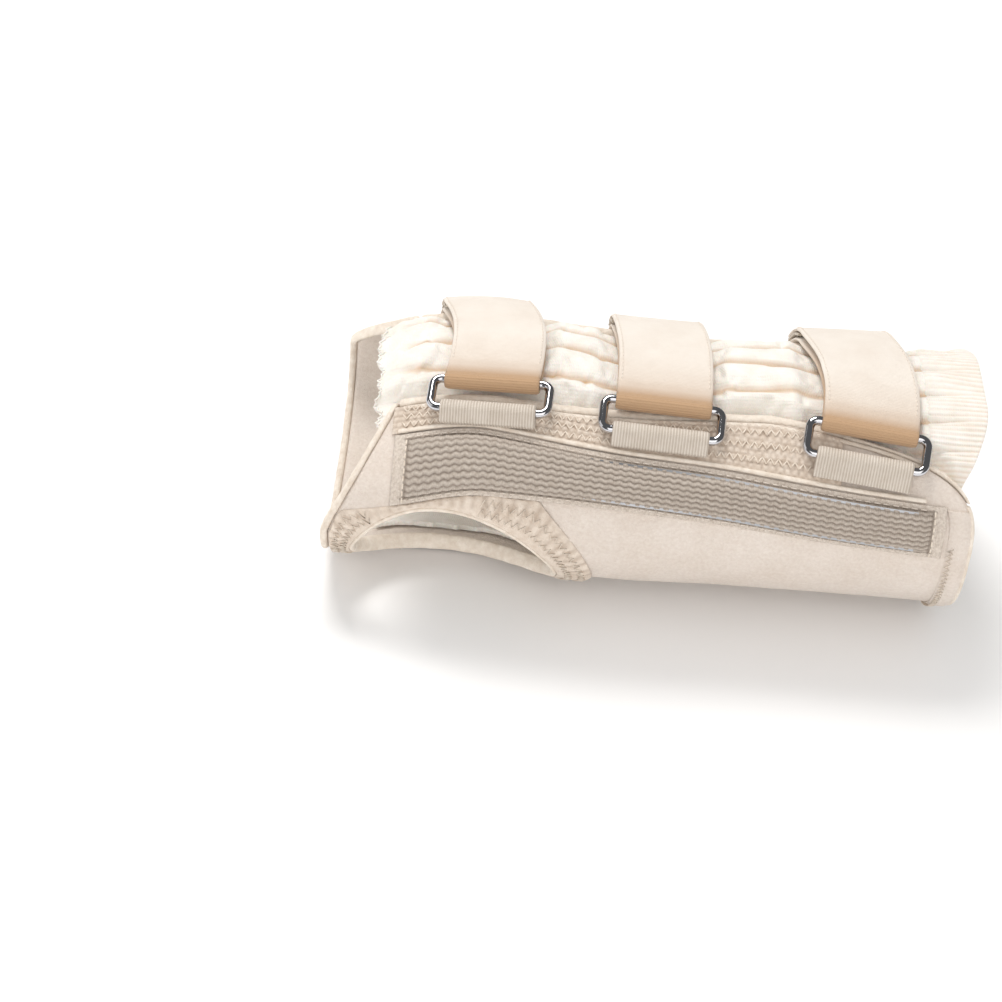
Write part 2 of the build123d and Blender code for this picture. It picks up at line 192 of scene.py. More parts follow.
def shell(name, outer, inner, uv, keep=None, closed=False, levels=1, shade=0.0):
    """Sheet with thickness between two grids of points. keep marks the grid's cells that stay."""
    rows, columns = outer.shape[:2]
    index = np.arange(rows * columns).reshape(rows, columns)
    right = np.roll(index, -1, 1) if closed else index[:, 1:]
    left = index if closed else index[:, :-1]
    a, b, c, d = left[:-1], left[1:], right[1:], right[:-1]
    if keep is None:
        keep = np.ones(a.shape, bool)
    top = np.stack([a, b, c, d], -1)[keep]
    count = rows * columns
    edges = dict.fromkeys((quad[i], quad[(i + 1) % 4]) for quad in top.tolist() for i in range(4))
    rim = [(p, q) for p, q in edges if (q, p) not in edges]
    faces = [tuple(f) for f in top.tolist()]
    faces += [tuple(count + i for i in reversed(f)) for f in top.tolist()]
    faces += [(q, p, p + count, q + count) for p, q in rim]
    vertices = np.concatenate([outer.reshape(-1, 3), inner.reshape(-1, 3)])
    used = np.unique(np.array([i for f in faces for i in f]))
    renumber = np.full(2 * count, -1)
    renumber[used] = np.arange(len(used))
    faces = [tuple(int(renumber[i]) for i in f) for f in faces]
    seam = 0.0
    if closed:
        seam = uv[..., 1].max() / (columns - 1)
        uv = np.stack([uv[..., 0], np.broadcast_to(np.arange(columns) * seam, (rows, columns))], -1)
    both = np.concatenate([uv.reshape(-1, 2)] * 2)
    shade_amount = np.concatenate([(np.zeros((rows, columns)) + shade).ravel()] * 2)
    return make(name, vertices[used], faces, both[used], levels, shade_amount[used], seam)


def unit(vectors):
    """Vectors brought to length 1."""
    return vectors / (np.linalg.norm(vectors, axis=-1, keepdims=True) + 1e-9)


def grid(rows, columns):
    """Shares from 0 to 1 along a grid's rows and columns."""
    return np.meshgrid(np.linspace(0, 1, rows + 1), np.linspace(0, 1, columns + 1), indexing="ij")


def sleeve_grid(rows, columns):
    """Grid that closes round the limb: the share of its length, and the angle."""
    u, v = np.meshgrid(np.linspace(0, 1, rows), np.linspace(0, 1, columns, endpoint=False), indexing="ij")
    return u, -90 + 360 * v


def lengths(points):
    """Running length along each row direction and column direction, used as texture coordinates in mm."""
    down = np.linalg.norm(np.diff(points, axis=0), axis=-1)
    side = np.linalg.norm(np.diff(points, axis=1), axis=-1)
    u = np.concatenate([np.zeros((1, points.shape[1])), np.cumsum(down, 0)])
    v = np.concatenate([np.zeros((points.shape[0], 1)), np.cumsum(side, 1)], 1)
    return np.stack([u, v], -1)


def cover(name, x, angle, high, low, **settings):
    """Cloth that lies on the limb, between two offsets from the felt's surface."""
    return shell(name, limb(x, angle, high), limb(x, angle, low), lengths(limb(x, angle)), **settings)


def tube_faces(count, sides, start=0):
    """Faces of a tube with closed ends, whose points come ring by ring."""
    faces = []
    for ring in range(start, start + (count - 1) * sides, sides):
        for k in range(sides):
            a, b = ring + k, ring + (k + 1) % sides
            faces.append((a, b, b + sides, a + sides))
    last = start + (count - 1) * sides
    return faces + [tuple(start + k for k in reversed(range(sides))), tuple(last + k for k in range(sides))]


def tubes(name, paths, radius=THREAD):
    """Round threads along several open paths of points, as one mesh."""
    vertices, faces = [], []
    for path in paths:
        path = np.asarray(path, float)
        along = unit(np.gradient(path, axis=0))
        first = unit(np.cross(along, [0.31, 0.17, 0.93]))
        second = np.cross(along, first)
        start = len(vertices)
        for p, f, s in zip(path, first, second):
            for k in range(THREAD_SIDES):
                t = 2 * math.pi * k / THREAD_SIDES
                vertices.append(p + radius * (math.cos(t) * f + math.sin(t) * s))
        faces += tube_faces(len(path), THREAD_SIDES, start)
    return make(name, np.array(vertices), faces, levels=0)


def loop_tube(name, middle, side, up):
    """Rolled edge round a closed path, with a rounded section spanned by the side and up vectors."""
    turns = np.linspace(0, 2 * np.pi, RIM_SIDES, endpoint=False)[None, :, None]
    swell = 1 + 0.08 * ripple(middle, 4.0, 7.0)[:, None, None]
    points = middle[:, None] + swell * (side[:, None] * np.cos(turns) + up[:, None] * np.sin(turns))
    index = np.arange(len(middle) * RIM_SIDES).reshape(-1, RIM_SIDES)
    ahead, beside = np.roll(index, -1, 0), np.roll(index, -1, 1)
    both = np.roll(ahead, -1, 1)
    faces = np.stack([index, ahead, both, beside], -1).reshape(-1, 4).tolist()
    return make(name, points.reshape(-1, 3), faces)


def stitches(name, path, pitch=2.6, gap=0.35, radius=0.22):
    """Running stitch: short threads with gaps between them, along a path of points."""
    path = np.asarray(path, float)
    walked = np.concatenate([[0], np.cumsum(np.linalg.norm(np.diff(path, axis=0), axis=1))])
    dashes = []
    for i in range(int(walked[-1] / pitch)):
        spots = np.linspace(i * pitch, (i + 1 - gap) * pitch, 5)
        dashes.append(np.stack([np.interp(spots, walked, path[:, k]) for k in range(3)], -1))
    return tubes(name, dashes, radius)


def alternate(count, swing):
    """A thread's swing to one side and to the other, point by point."""
    return np.where(np.arange(count) % 2 == 0, swing, -swing)


# ---- Materials ----

class Paint:
    """Short-hand for building a node material."""

    def __init__(self, name, roughness, sheen=0.0):
        self.material = bpy.data.materials.new(name)
        self.material.use_nodes = True
        self.tree = self.material.node_tree
        self.surface = self.tree.nodes["Principled BSDF"]
        self.surface.inputs["Roughness"].default_value = roughness
        if sheen:
            self.surface.inputs["Sheen Weight"].default_value = sheen
            self.surface.inputs["Sheen Roughness"].default_value = 0.4
            self.surface.inputs["Sheen Tint"].default_value = (*linear((255, 250, 245)), 1)

    def node(self, kind, values=None, **settings):
        node = self.tree.nodes.new(kind)
        for key, value in settings.items():
            setattr(node, key, value)
        for key, value in (values or {}).items():
            if isinstance(value, bpy.types.NodeSocket):
                self.tree.links.new(value, node.inputs[key])
            else:
                node.inputs[key].default_value = value
        return node

    def place(self, source, scale):
        """Texture coordinates: 'Object' in metres or 'UV' in millimetres, scaled."""
        socket = self.node("ShaderNodeTexCoord").outputs[source]
        return self.node("ShaderNodeMapping", {"Vector": socket, "Scale": (scale,) * 3}).outputs["Vector"]

    def noise(self, size, detail=4.0, roughness=0.6):
        """Noise with lumps of this size in millimetres."""
        place = self.place("Object", 1000 / size)
        values = {"Vector": place, "Scale": 1.0, "Detail": detail, "Roughness": roughness}
        return self.node("ShaderNodeTexNoise", values).outputs["Fac"]

    def wave(self, across, bend=0.0, direction="X"):
        """Ribs with this pitch in millimetres."""
        values = {"Vector": self.place("UV", 1.0), "Scale": math.pi / 10 / across, "Distortion": bend}
        return self.node("ShaderNodeTexWave", values, bands_direction=direction).outputs["Fac"]

    def ramp(self, factor, low, high, start=0.3, end=0.7):
        ramp = self.node("ShaderNodeValToRGB", {"Fac": factor})
        for stop, position, colour in zip(ramp.color_ramp.elements, (start, end), (low, high)):
            stop.position, stop.color = position, (*linear(colour), 1)
        return ramp.outputs["Color"]

    def mix(self, factor, a, b):
        node = self.node("ShaderNodeMix", {0: factor}, data_type="RGBA")
        for socket, value in ((node.inputs[6], a), (node.inputs[7], b)):
            if isinstance(value, bpy.types.NodeSocket):
                self.tree.links.new(value, socket)
            else:
                socket.default_value = (*linear(value), 1)
        return node.outputs[2]

    def colour(self, socket, shade_colour=None):
        """Base colour, going over to the painted shade colour where the mesh's shade attribute paints shade.
        """
        if shade_colour:
            shade_amount = self.node("ShaderNodeAttribute", attribute_name="shade").outputs["Fac"]
            socket = self.mix(shade_amount, socket, shade_colour)
        self.tree.links.new(socket, self.surface.inputs["Base Color"])

    def bump(self, *layers):
        """Bump from pairs of (height socket, depth in millimetres), one over the other."""
        normal = None
        for height, depth in layers:
            values = {"Height": height, "Distance": depth / 1000, "Strength": 1.0}
            if normal is not None:
                values["Normal"] = normal
            normal = self.node("ShaderNodeBump", values).outputs["Normal"]
        self.tree.links.new(normal, self.surface.inputs["Normal"])


def linear(colour):
    """Scene-linear values of a colour given from 0 to 255."""
    scaled = [c / 255 for c in colour]
    return [c / 12.92 if c <= 0.04045 else ((c + 0.055) / 1.055) ** 2.4 for c in scaled]


# Each cloth paint's last colour is its painted shade colour, which the mesh's shade attribute mixes in.
def felt_paint():
    paint = Paint("brushed_felt", 0.9, 0.25)
    cloud = paint.ramp(paint.noise(14, 5), (222, 208, 195), (235, 224, 214))
    fleck = paint.ramp(paint.noise(0.9, 3), (211, 195, 181), (245, 236, 227), 0.25, 0.75)
    paint.colour(paint.mix(0.4, cloud, fleck), (176, 152, 130))
    paint.bump((paint.noise(1.6, 6, roughness=0.75), 0.5), (paint.noise(0.35, 3), 0.15))
    return paint


def liner_paint():
    paint = Paint("stockinette", 0.92, 0.2)
    cloud = paint.ramp(paint.noise(5, 5), (233, 227, 217), (244, 240, 234))
    paint.colour(cloud, (196, 158, 114))
    values = {0: paint.wave(0.8, 1.2, "Y"), 1: paint.wave(0.6, 1.0)}
    loops = paint.node("ShaderNodeMath", values, operation="ADD").outputs[0]
    paint.bump((loops, 0.04), (paint.noise(1.2, 5), 0.2))
    paint.surface.inputs["Subsurface Weight"].default_value = 0.08
    paint.surface.inputs["Subsurface Scale"].default_value = 0.002
    return paint


def strap_paint():
    paint = Paint("brushed_loop", 0.88, 0.25)
    cloud = paint.ramp(paint.noise(9, 4), (232, 221, 209), (241, 233, 223))
    lines = paint.wave(0.55, 0.6)
    # The ribs are lighter on their crests and darker in their grooves, following the bump: painted shading of
    # the ribs.
    cross = paint.ramp(lines, (222, 208, 192), (244, 237, 228), 0.1, 0.9)
    paint.colour(paint.mix(0.3, cloud, cross), (188, 154, 120))
    paint.bump((lines, 0.1), (paint.noise(0.6, 4), 0.12))
    return paint


def tab_paint():
    paint = Paint("grosgrain", 0.7, 0.15)
    ribs = paint.wave(0.75, 0.0, "Y")
    cloud = paint.ramp(paint.noise(4, 4), (198, 184, 168), (222, 211, 198))
    # Darker in the rib grooves and lighter on the crests, following the bump: painted shading of the ribs.
    rib_shading = paint.ramp(ribs, (176, 161, 145), (228, 219, 208), 0.1, 0.9)
    paint.colour(paint.mix(0.5, cloud, rib_shading), (128, 112, 97))
    paint.bump((ribs, 0.14), (paint.wave(0.35, 0.3), 0.05), (paint.noise(0.5, 3), 0.06))
    return paint


def pocket_paint():
    paint = Paint("wavy_weave", 0.8, 0.15)
    yarn = paint.ramp(paint.noise(0.7, 3), (196, 182, 168), (230, 219, 207))
    paint.colour(yarn, (122, 108, 96))
    paint.bump((paint.wave(0.6, 1.5), 0.1), (paint.noise(0.3, 3), 0.12))
    return paint


def tape_paint(name, low, high, shade_colour):
    paint = Paint(name, 0.88, 0.2)
    paint.colour(paint.ramp(paint.noise(2.2, 5), low, high), shade_colour)
    paint.bump((paint.noise(0.9, 6), 0.35), (paint.noise(0.3, 3), 0.12))
    return paint


def thread_paint():
    paint = Paint("thread", 0.6)
    paint.colour(paint.ramp(paint.noise(1.0, 2), (216, 200, 182), (240, 229, 215)))
    paint.bump((paint.noise(0.25, 2), 0.05))
    return paint


def hook_paint():
    paint = Paint("hook_tape", 0.55)
    dots = paint.node("ShaderNodeTexVoronoi", {"Vector": paint.place("Object", 1000 / 1.2), "Scale": 1.0})
    # Darker away from each dot's middle, where the bump sinks: painted shade in the hollows between the
    # hooks.
    paint.colour(paint.ramp(dots.outputs["Distance"], (234, 226, 214), (190, 178, 162), 0.1, 0.6))
    paint.bump((dots.outputs["Distance"], -0.5))
    return paint


def metal_paint(name, colour, roughness, scratch):
    paint = Paint(name, roughness)
    paint.surface.inputs["Metallic"].default_value = 1.0
    wear = paint.noise(2.5, 6)
    spread = paint.node("ShaderNodeMapRange", {"Value": wear, 3: roughness, 4: roughness + scratch})
    paint.tree.links.new(spread.outputs[0], paint.surface.inputs["Roughness"])
    paint.colour(paint.ramp(paint.noise(7, 3), [c - 12 for c in colour], colour))
    paint.bump((wear, 0.02))
    return paint


FELT_PAINT, LINER_PAINT, STRAP_PAINT = felt_paint(), liner_paint(), strap_paint()
TAB_PAINT, POCKET_PAINT, THREAD_PAINT = tab_paint(), pocket_paint(), thread_paint()
BINDING_PAINT = tape_paint("binding_tape", (222, 207, 190), (244, 234, 221), (170, 146, 122))
HEM_PAINT = tape_paint("hem_tape", (212, 195, 178), (234, 221, 207), (146, 122, 101))
CHROME = metal_paint("chrome", (214, 214, 218), 0.05, 0.08)
STAY_METAL = metal_paint("aluminium_strip", (190, 192, 196), 0.32, 0.15)
HOOK_PAINT = hook_paint()


def finish(obj, paint, slot, body="splint", node=None):
    """Give a piece its paint, its body, and the CAD node that it takes the place of. slot is not used."""
    obj.data.materials.clear()
    obj.data.materials.append(paint.material)
    if body:
        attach(obj, body)
    if node:
        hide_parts(node)


def edging(obj, paint=THREAD_PAINT, **settings):
    """Finish a thread, or a binding or tape in its own paint."""
    finish(obj, paint, "edge_tape", **settings)


# ---- Thumb hole ----

class Hole:
    """The thumb hole's elliptical cut."""

    def __init__(self):
        top, low = limb(THUMB_X, THUMB_TOP), limb(THUMB_X, THUMB_LOW)
        rise = top - low
        outwards = np.cross([1, 0, 0], rise)
        outwards *= -np.sign(outwards[1]) / np.linalg.norm(outwards)
        self.centre, self.out = (top + low) / 2, outwards
        cross = np.cross(outwards, [1, 0, 0])
        tilt = math.radians(THUMB_TILT)
        self.long = math.cos(tilt) * np.array([1, 0, 0]) + math.sin(tilt) * cross
        self.short = -math.sin(tilt) * np.array([1, 0, 0]) + math.cos(tilt) * cross
        self.radii = THUMB_LENGTH / 2, np.linalg.norm(rise) / 2

    def outside(self, points, margin=0.0):
        """Below 0 inside the cut, above 0 outside it, growing by about 1 for each millimetre."""
        d = points - self.centre
        a, b = self.radii[0] + margin, self.radii[1] + margin
        reach = np.sqrt((d @ self.long / a) ** 2 + (d @ self.short / b) ** 2)
        return np.where(d @ self.out > -2, (reach - 1) * b, 99.0)

    def rim(self, turn, margin, offset):
        """Point on the surface raised by the offset, at an angle round the hole and a distance outside it."""
        turn, margin = np.broadcast_arrays(np.radians(np.asarray(turn, float)), np.asarray(margin, float))
        flat = self.centre + ((self.radii[0] + margin) * np.cos(turn))[..., None] * self.long
        flat = flat + ((self.radii[1] + margin) * np.sin(turn))[..., None] * self.short
        low, high = np.full(turn.shape, -6.0), np.full(turn.shape, 40.0)
        for _ in range(40):
            middle = (low + high) / 2
            p = flat + middle[..., None] * self.out
            across = np.abs(p[..., 1] - side_shift(p[..., 0])) / (half_width(p[..., 0]) + offset)
            up = np.abs(p[..., 2] - PALMAR_RISE - half_height(p[..., 0])) / (half_height(p[..., 0]) + offset)
            inside = across ** ROUNDNESS + up ** ROUNDNESS < 1
            low, high = np.where(inside, middle, low), np.where(inside, high, middle)
        return flat + low[..., None] * self.out


hole = Hole()


def angle_of(points):
    """Angle round the limb of points near its surface."""
    y = (side_shift(points[..., 0]) - points[..., 1]) / half_width(points[..., 0])
    z = (points[..., 2] - PALMAR_RISE - half_height(points[..., 0])) / half_height(points[..., 0])
    power = ROUNDNESS / 2
    return np.degrees(np.arctan2(np.sign(z) * np.abs(z) ** power, np.sign(y) * np.abs(y) ** power))


def fit_hole(x, angle, margin, closed=False):
    """Cells of a grid to keep round the hole, with the cut's border moved onto the hole's outline."""
    def outside(px, pa):
        return hole.outside(limb(px, pa), margin)
    value = outside(x, angle)
    ahead = np.roll(value, -1, 1) if closed else value[:, 1:]
    here = value if closed else value[:, :-1]
    corners = np.stack([here[:-1], here[1:], ahead[1:], ahead[:-1]])
    keep = corners.mean(0) > 0
    padded = np.pad(keep.astype(int), 1)
    if closed:
        padded[1:-1, 0], padded[1:-1, -1] = keep[:, -1], keep[:, 0]
    kept = (padded[:-1, :-1] + padded[1:, :-1] + padded[:-1, 1:] + padded[1:, 1:])[:, : x.shape[1]]
    border = (kept > 0) & (kept < 4) & (np.abs(value) < 2.4)
    for _ in range(4):
        value = outside(x, angle)
        gx = (outside(x + 0.2, angle) - outside(x - 0.2, angle)) / 0.4
        ga = (outside(x, angle + 0.3) - outside(x, angle - 0.3)) / 0.6
        size = gx ** 2 + (ga / 0.6) ** 2 + 1e-6
        x = np.where(border, x - value * gx / size, x)
        angle = np.where(border, angle - value * ga / 0.36 / size, angle)
    return x, angle, keep


# ---- Felt body, bindings and hems ----

def felt_body():
    u, v = grid(118, 150)
    angle = THUMB_EDGE + (ULNAR_EDGE - THUMB_EDGE) * v
    x = hand_edge(angle) + (elbow_edge(angle) - hand_edge(angle)) * u
    x, angle, keep = fit_hole(x, angle, 0.0)
    base = limb(x, angle)
    lumps = 0.35 * ripple(base, 21, 3.0) + 0.12 * ripple(base, 7, 8.0)
    felt = cover("felt_body_cloth", x, angle, lumps - 0.1, -FELT + 0.2 + 0.3 * lumps, keep=keep)
    finish(felt, FELT_PAINT, "felt", node="felt_body")


def bead(name, x, angle, across, width, low, high):
    """Rolled edge along a path on the limb. across gives each point's (x, angle) step away from the felt."""
    middle = limb(x, angle, (low + high) / 2)
    outward = unit(limb(x + 0.1 * across[0], angle + 0.1 * across[1], (low + high) / 2) - middle)
    normal = unit(limb(x, angle, high) - limb(x, angle, low))
    turns = np.linspace(0, 2 * np.pi, ROLL_SIDES, endpoint=False)
    c, s = np.cos(turns), np.sin(turns)
    width = (np.zeros(len(x)) + width)[:, None]
    side = width / 2 * (np.sign(c) * np.abs(c) ** 0.8)[None, :]
    up = (high - low) / 2 * np.sign(s) * np.abs(s) ** 0.8
    swell = 1 + 0.12 * ripple(middle, 3.5, 5.0)[:, None, None]
    centre = middle + outward * width / 2
    ring = outward[:, None, :] * side[:, :, None] + normal[:, None, :] * up[None, :, None]
    points = centre[:, None, :] + ring * swell
    return make(name, points.reshape(-1, 3), tube_faces(len(x), ROLL_SIDES))


def hand_binding():
    angle = np.linspace(67.5, -227.5, 250)
    roll = bead("hand_edge_roll", hand_edge(angle) + 0.2, angle, (-1.0, 0.0), 2.2, -FELT, 0.5)
    edging(roll, BINDING_PAINT, node="hand_edge_binding")


def radial_binding():
    straight = np.linspace(hand_edge(THUMB_EDGE) + 0.5, elbow_edge(THUMB_EDGE), 90)
    corner_angle = np.linspace(THUMB_EDGE, 31, 60)[1:]
    x = np.concatenate([straight, elbow_edge(corner_angle)])
    angle = np.concatenate([np.full(90, THUMB_EDGE), corner_angle])
    turn = ease(x, 46, 90)
    width = 3.0 - 2.2 * ease(np.arange(len(x)), len(x) - 34, len(x) - 1)
    edge = bead("radial_edge_roll", x, angle, (turn, 1.0 - 0.9 * turn), width, -FELT, 0.6)
    edging(edge, BINDING_PAINT, node="radial_edge_binding")
    inset = slice(2, -26)
    step = -0.6 * turn[inset], -1.0 + 0 * turn[inset]
    lip = bead("radial_edge_cord", x[inset], angle[inset] - 0.4, step, 1.3, 0.1, 0.9)
    edging(lip, BINDING_PAINT)


def ulnar_binding():
    x = np.linspace(hand_edge(ULNAR_EDGE) + 0.5, elbow_edge(ULNAR_EDGE) - 0.5, 110)
    edge = bead("ulnar_edge_roll", x, np.full(110, ULNAR_EDGE), (0.0, -1.0), 2.9, -FELT, 0.6)
    edging(edge, BINDING_PAINT, node="ulnar_edge_binding")


def zigzag(start, end, middle, width, pitch, lift):
    """Zigzag thread between two x places: middle(x) and width in mm give where it swings."""
    turns = int((end - start) / (pitch / 2))
    corners = np.linspace(start, end, turns + 1)
    fine = np.linspace(0, turns, turns * 4 + 1)
    x = np.interp(fine, np.arange(turns + 1), corners)
    side = np.interp(fine, np.arange(turns + 1), alternate(turns + 1, 0.5))
    sag = np.abs(np.abs(side) * 2 - 1) * 0.12
    return limb(x, around(x, middle(x), side * width), lift + sag - 0.05)


def radial_hem():
    """Tape between the pocket strip and the felt's dorsal edge, quilted by rows of zigzag stitches."""
    u, v = grid(220, 22)
    x = -46.5 + 116.5 * u
    low = beside_strip(x, 1, 0.5)
    high = np.maximum(felt_top(x - 3) - 0.8, low + 1)
    angle = high + (low - high) * v
    base = limb(x, angle)
    height = np.radians(angle - low) * LIMB_RADIUS
    stagger = np.where((height / QUILT[1]).astype(int) % 2, 0.0, math.pi / 2)
    cells = np.abs(np.sin(x * math.pi / QUILT[0] + stagger))
    cells = cells * np.abs(np.sin(height * math.pi / QUILT[1]))
    quilted = ease(height, 0.3, 1.2)
    lump = 0.75 * cells * quilted + 0.15 * ripple(base, 4, 2.0)
    # Painted shade in the quilted tape's dimples, between its raised cells.
    dimple_shade = 0.5 * (1 - cells) ** 2 * quilted
    tape = cover("radial_hem_tape", x, angle, 0.55 + lump, 0.05, shade=dimple_shade)
    edging(tape, HEM_PAINT, node="radial_edge_facing")
    rows = []
    for share in (0.28, 0.55, 0.8):
        def middle(px, share=share):
            low = beside_strip(px, 1, 0.5)
            return low + (felt_top(px - 3) - low) * share
        rows.append(zigzag(-44, 62, middle, width=1.6, pitch=2.1, lift=1.05))
    edging(tubes("radial_hem_thread", rows))
    x = np.linspace(-45, 92, 160)
    edging(bead("pocket_edge_cord", x, beside_strip(x, 1, 0.4), (0.0, 1.0), 1.3, 0.1, 1.5), BINDING_PAINT)


def elbow_hem():
    u, v = grid(10, 180)
    angle = 27.0 - 239.0 * v
    x = elbow_edge(angle) - 6.2 + 6.0 * u
    lump = 0.18 * ripple(limb(x, angle), 3.0, 4.0) + 0.12 * np.sin(angle * 1.9)
    rounded = 0.7 * ease(u, 0, 0.25) - 1.4 * ease(u, 0.75, 1.0)
    tape = cover("elbow_hem_tape", x, angle, 0.1 + 0.75 * np.maximum(rounded, 0.02) + lump * u, -0.15)
    edging(tape, FELT_PAINT, node="elbow_edge_facing")
    angle = np.linspace(8, -205, 170)
    thread = limb(elbow_edge(angle) - 5.2 + alternate(170, 0.7), angle, 0.85)
    edging(tubes("elbow_hem_thread", [thread]))
    angle = np.linspace(30, -210, 260)
    edge = bead("elbow_edge_roll", elbow_edge(angle) - 0.9, angle, (1.0, 0.0), 1.4, -FELT, 0.35)
    edging(edge, BINDING_PAINT)


def thumb_hem():
    """Facing round the thumb hole, its rolled rim and its gathered zigzag stitching."""
    turn = np.linspace(-180, 180, 200, endpoint=False)
    reach = np.full(turn.shape, HEM)
    for i, t in enumerate(turn):
        while reach[i] > 0.6:
            p = hole.rim(t, reach[i], 0.3)
            angle = angle_of(p)
            clear = angle < beside_strip(p[0], -1, 0.4) and p[1] < -STAY_POCKET[2] - 0.6
            if clear and p[0] > hand_edge(angle) + 0.4:
                break
            reach[i] -= 0.3
    reach = np.minimum(reach, (np.roll(reach, 1) + np.roll(reach, -1)) / 2 + 0.3)
    v = np.linspace(0, 1, 12)[None, :]
    flat = hole.rim(turn[:, None], 0.2 + (reach[:, None] - 0.2) * v, 0.0)
    wave = np.sin(turn * 1.1 + 0.6 * np.sin(turn * 0.23))[:, None] * ease(v, 0.2, 0.5)
    gather = 0.4 * wave + 0.25 * ripple(flat, 2.6, 1.0)
    raised = flat_offset(flat, 0.75 + gather * ease(v, 0.0, 0.3) - 0.6 * ease(v, 0.85, 1.0))
    sunk = flat_offset(flat, 0.02)
    sheets = [np.swapaxes(points, 0, 1) for points in (raised, sunk, lengths(flat))]
    # Painted shade in the valleys of the gathered facing.
    gather_shade = 0.3 * ease(-wave, 0.0, 1.0)
    tape = shell("thumb_hem_tape", *sheets, closed=True, shade=gather_shade.T)
    edging(tape, HEM_PAINT, node="thumb_hole_facing")
    rim = hole.rim(turn, 0.0, 0.0)
    aside = unit(rim - hole.rim(turn, 1.0, 0.0))
    raise_by = (flat_offset(rim, 0.65) - flat_offset(rim, -FELT - 0.3)) / 2
    middle = flat_offset(rim, 0.65) - raise_by + 0.3 * aside
    edging(loop_tube("thumb_rim_roll", middle, aside, raise_by), BINDING_PAINT)
    wide = reach > 4
    spots = turn[wide]
    order = np.argsort(np.where(spots < 90, spots + 360, spots))
    rows = []
    for share in (0.35, 0.72):
        margins = reach[wide] * share + alternate(len(spots), 0.8)
        path = flat_offset(hole.rim(spots[order], margins[order], 0.0), 1.0)
        breaks = np.nonzero(np.linalg.norm(np.diff(path, axis=0), axis=1) > 5)[0] + 1
        rows += [part for part in np.split(path, breaks) if len(part) > 3]
    edging(tubes("thumb_hem_thread", rows))


def flat_offset(points, offset):
    """Points on the felt's surface moved outwards by an offset."""
    return limb(points[..., 0], angle_of(points), offset)


# ---- Stay pockets ----

def pocket_strip():
    """Woven strip over the thumb-side stay: wavy ribs along it, plain selvedges and turned-in ends."""
    u, v = grid(540, 80)
    x = POCKET_SPAN[0] + (POCKET_SPAN[1] - POCKET_SPAN[0]) * u
    width = pocket_width(x)
    side = (0.5 - v) * width
    angle = around(x, pocket_middle(x), side)
    edge = width / 2 - np.abs(side)
    ends = np.minimum(x - POCKET_SPAN[0], POCKET_SPAN[1] - x)
    wave = 0.13 * np.sin(x * 2 * math.pi / 2.5) + 0.12 * ripple(limb(x, angle), 6, 2.0)
    ribs = np.abs(np.sin(math.pi * (v * WEAVE_ROWS + wave))) ** 0.8
    inside = ease(edge, 1.3, 1.9) * ease(ends, 3.4, 4.0)
    crown = 0.7 + (POCKET_COVER - 1.0) * ease(edge, 0.8, 3.6) * ease(ends, 0.5, 7.0)
    groove = np.maximum(np.exp(-((edge - 1.5) / 0.3) ** 2), np.exp(-((ends - 3.5) / 0.35) ** 2))
    groove = groove * ease(ends, 2.0, 3.0) * ease(edge, 0.8, 1.2)
    height = 0.15 + crown + 0.5 * ribs * inside - 0.35 * groove
    # Painted shade in the gaps between the ribs and in the grooves by the selvedges and ends; the ribbed
    # middle is also set darker than the plain selvedges.
    shade_amount = np.clip(0.05 + inside * (0.8 - 0.55 * ribs) + 0.6 * groove, 0, 1)
    strip = cover("radial_pocket_strip", x, angle, height, 0.12, levels=0, shade=shade_amount)
    finish(strip, POCKET_PAINT, "pocket_weave", node="radial_stay_pocket")
    side = np.linspace(-0.46, 0.46, 30)
    lift = 1.55 + 1.0 * ease(0.46 - np.abs(side), 0, 0.2)
    for label, place in (("hand", POCKET_SPAN[0] + 3.2), ("elbow", POCKET_SPAN[1] - 3.2)):
        path = limb(place, around(place, pocket_middle(place), side * pocket_width(place)), lift)
        edging(stitches(f"pocket_{label}_stitches", path, 2.0))
    x = np.linspace(POCKET_SPAN[0] + 3, POCKET_SPAN[1] - 3, 260)
    for label, sign in (("upper", 1), ("lower", -1)):
        path = limb(x, beside_strip(x, sign, -1.15), 1.35)
        edging(stitches(f"pocket_{label}_stitches", path, 2.4), POCKET_PAINT)


def palmar_pocket():
    """Channel of cloth under the palm, flat below and open towards the elbow."""
    start, end, half = STAY_POCKET
    u, v = grid(110, 44)
    side = (v - 0.5) * 2
    x = start + (end - start) * u
    y = half * np.sign(side) * np.abs(side) ** 0.85
    on_felt = surface_z(x, y)
    drop = ease(1 - np.abs(side), 0.0, 0.28) * ease(x - start, 0.0, 5.0)
    puckers = 0.12 * ripple(np.stack([x, y, 0 * x], -1), 3.0, 6.0) * (1 - ease(1 - np.abs(side), 0.05, 0.5))
    outer = np.stack([x, y, (on_felt - 0.5) * (1 - drop) + puckers * 0.5], -1)
    inner = np.stack([x, y * 0.99, (on_felt + 0.1) * (1 - drop) + 0.8 * drop], -1)
    pocket = shell("palmar_pocket_cloth", inner, outer, lengths(outer))
    finish(pocket, FELT_PAINT, "felt", node="palmar_stay_pocket")
    x = np.linspace(start + 3, end - 1, 200)
    for label, sign in (("thumb", -1), ("ulnar", 1)):
        y = sign * np.full(200, half - 1.0)
        path = np.stack([x, y, surface_z(x, y) - 0.9], -1)
        edging(stitches(f"palmar_pocket_{label}_stitches", path))


def surface_z(x, y):
    """Height of the felt's palmar surface below a point."""
    across = np.clip(np.abs(y - side_shift(x)) / half_width(x), 0, 0.999)
    return PALMAR_RISE + half_height(x) * (1 - (1 - across ** ROUNDNESS) ** (1 / ROUNDNESS))


# ---- Liner ----

def strap_grip(x):
    """1 under a strap and 0 between straps."""
    grip = 0.0 * x
    for station in STATIONS:
        grip = np.maximum(grip, ease(19 - np.abs(x - station.x), 0, 9))
    return grip


